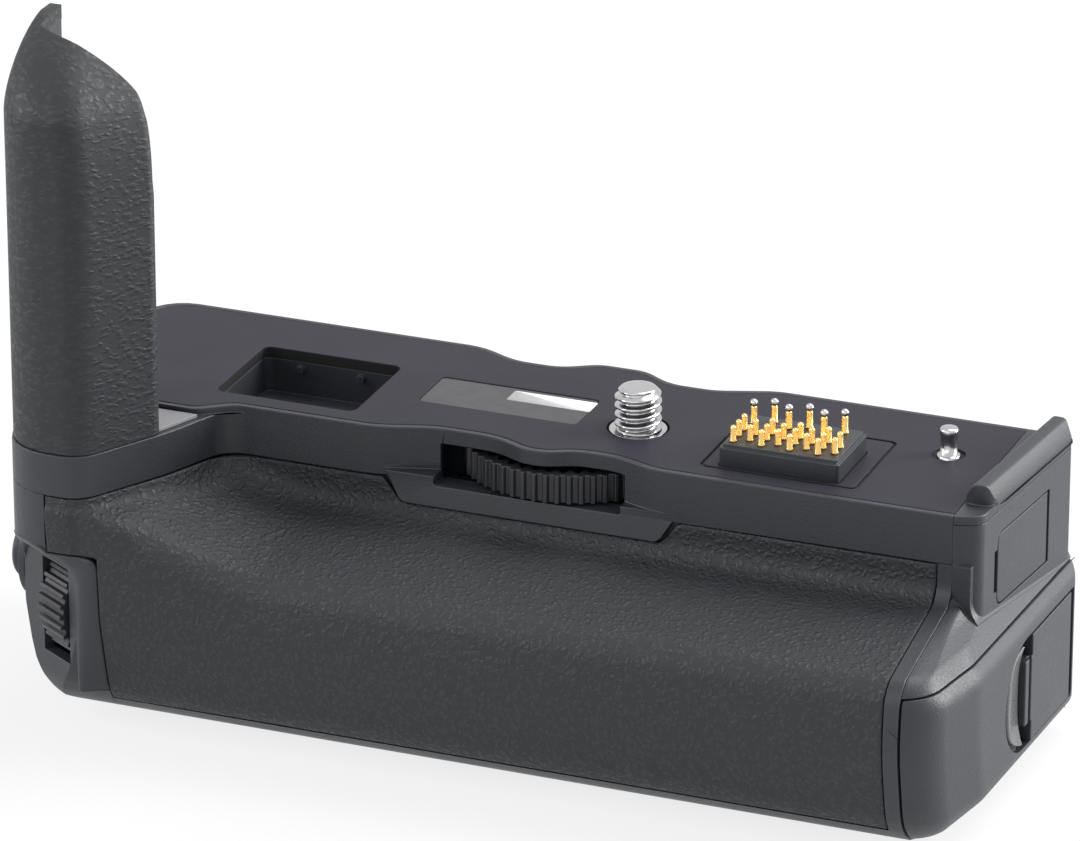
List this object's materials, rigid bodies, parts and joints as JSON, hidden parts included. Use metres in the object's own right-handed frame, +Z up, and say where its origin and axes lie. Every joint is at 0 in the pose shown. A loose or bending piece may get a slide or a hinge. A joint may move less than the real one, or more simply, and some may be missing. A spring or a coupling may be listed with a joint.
{
  "type": "camera battery grip",
  "caption": "Vertical battery grip for a mirrorless camera: seat with tripod screw and geared thumbwheel, contact block, hand grip riser, slide-out battery tray, latch, dials and focus stick.",
  "frame": {"origin": "on the camera screw's axis, in the plane of the camera seat", "axes": "+X towards the battery tray's end, +Y towards the back, +Z up out of the seat"},
  "size_m": [0.1384, 0.0568, 0.0975],
  "materials": {
    "seat_metal": "fine matt paint",
    "black_plastic": "fine moulded grain",
    "grip_rubber": "leather grain",
    "cover_rubber": "smooth matt rubber",
    "pale_rubber": "smooth",
    "label": "printed film, left blank",
    "steel": "bright nickel plate",
    "gold_pins": "gold plate",
    "wheel_plastic": "ribbed",
    "board": "circuit board",
    "battery_case": "smooth",
    "switch_plastic": "smooth",
    "lamp": "clear lens"
  },
  "bodies": {
    "housing": {"seat_plate": "seat_metal", "side_fence": "black_plastic", "upper_frame": "black_plastic", "lower_housing": "black_plastic", "left_end_cover": "black_plastic", "right_end_cover": "black_plastic", "front_skin": "grip_rubber", "column_core": "black_plastic", "column_skin": "grip_rubber", "grip_seat_pad": "pale_rubber", "label_plate": "label", "cap_holder": "black_plastic", "connector_block": "black_plastic", "contact_pins": "gold_pins", "guide_pin": "steel", "screw_bush": "steel", "wheel_axle": "steel", "base_plate": "seat_metal", "tripod_bush": "steel", "base_screws": "steel", "battery_chamber": "black_plastic", "chamber_contacts": "gold_pins", "main_board": "board", "dc_jack": "black_plastic", "shutter_switch": "switch_plastic", "front_dial_bracket": "black_plastic", "rear_dial_bracket": "black_plastic", "button_switches": "switch_plastic", "stick_base": "black_plastic", "status_lamps": "lamp"},
    "thumbwheel": {"thumbwheel": "wheel_plastic"},
    "camera_screw": {"camera_screw": "steel", "screw_pinion": "steel", "screw_clip": "steel"},
    "front_dial": {"front_dial": "wheel_plastic", "front_dial_shaft": "steel"},
    "rear_dial": {"rear_dial": "wheel_plastic", "rear_dial_shaft": "steel"},
    "shutter_button": {"shutter_button": "black_plastic"},
    "shutter_collar": {"shutter_collar": "black_plastic"},
    "lock_button_left": {"lock_button_left": "black_plastic"},
    "lock_button_right": {"lock_button_right": "black_plastic"},
    "menu_button": {"menu_button": "black_plastic"},
    "stick_gimbal": {"stick_gimbal": "steel"},
    "focus_stick": {"focus_stick": "grip_rubber"},
    "dc_cover": {"dc_cover": "cover_rubber"},
    "battery_tray": {"battery_tray": "black_plastic", "tray_cap": "black_plastic", "inner_battery": "battery_case", "outer_battery": "battery_case", "latch_pin": "steel"},
    "latch_lever": {"latch_lever": "black_plastic"}
  },
  "joints": [
    {"name": "thumbwheel_spin", "type": "hinge", "parent": "housing", "child": "thumbwheel", "pos_m": [-0.0097, 0.00197, -0.0049], "axis": [0, 0, 1], "continuous": true},
    {"name": "screw_spin", "type": "hinge", "parent": "housing", "child": "camera_screw", "pos_m": [0, 0, 0], "axis": [0, 0, 1], "continuous": true},
    {"name": "front_dial_spin", "type": "hinge", "parent": "housing", "child": "front_dial", "pos_m": [-0.06811, -0.02469, -0.0258], "axis": [0.8448, -0.5351, 0], "continuous": true},
    {"name": "rear_dial_spin", "type": "hinge", "parent": "housing", "child": "rear_dial", "pos_m": [-0.05655, 0.0121, -0.0164], "axis": [1, 0, 0], "continuous": true},
    {"name": "shutter_press", "type": "slide", "parent": "housing", "child": "shutter_button", "axis": [1, 0, 0], "range_m": [0, 0.0008], "stiffness_N_per_m": 900},
    {"name": "collar_turn", "type": "hinge", "parent": "housing", "child": "shutter_collar", "pos_m": [-0.0793, -0.02, -0.0225], "axis": [1, 0, 0], "range_deg": [0, 35]},
    {"name": "lock_left_press", "type": "slide", "parent": "housing", "child": "lock_button_left", "axis": [0, -1, 0], "range_m": [0, 0.0006], "stiffness_N_per_m": 700},
    {"name": "lock_right_press", "type": "slide", "parent": "housing", "child": "lock_button_right", "axis": [0, -1, 0], "range_m": [0, 0.0006], "stiffness_N_per_m": 700},
    {"name": "menu_press", "type": "slide", "parent": "housing", "child": "menu_button", "axis": [0, -1, 0], "range_m": [0, 0.0006], "stiffness_N_per_m": 700},
    {"name": "stick_tilt_up", "type": "hinge", "parent": "housing", "child": "stick_gimbal", "pos_m": [-0.05755, 0.0138, -0.0306], "axis": [1, 0, 0], "range_deg": [-8, 8], "stiffness_Nm_per_rad": 0.02},
    {"name": "stick_tilt_side", "type": "hinge", "parent": "stick_gimbal", "child": "focus_stick", "pos_m": [-0.05755, 0.0138, -0.0306], "axis": [0, 0, 1], "range_deg": [-8, 8], "stiffness_Nm_per_rad": 0.02},
    {"name": "dc_cover_swing", "type": "hinge", "parent": "housing", "child": "dc_cover", "pos_m": [0.05357, 0.00966, -0.00975], "axis": [0, 0, 1], "range_deg": [0, 95]},
    {"name": "tray_slide", "type": "slide", "parent": "housing", "child": "battery_tray", "axis": [1, 0, 0], "range_m": [0, 0.098]},
    {"name": "latch_swing", "type": "hinge", "parent": "battery_tray", "child": "latch_lever", "pos_m": [0.05528, 0.01504, -0.0289], "axis": [0, 0, 1], "range_deg": [0, 90]}
  ],
  "couplings": [
    {"joint": "screw_spin", "follows": "thumbwheel_spin", "ratio": 3.75}
  ]
}
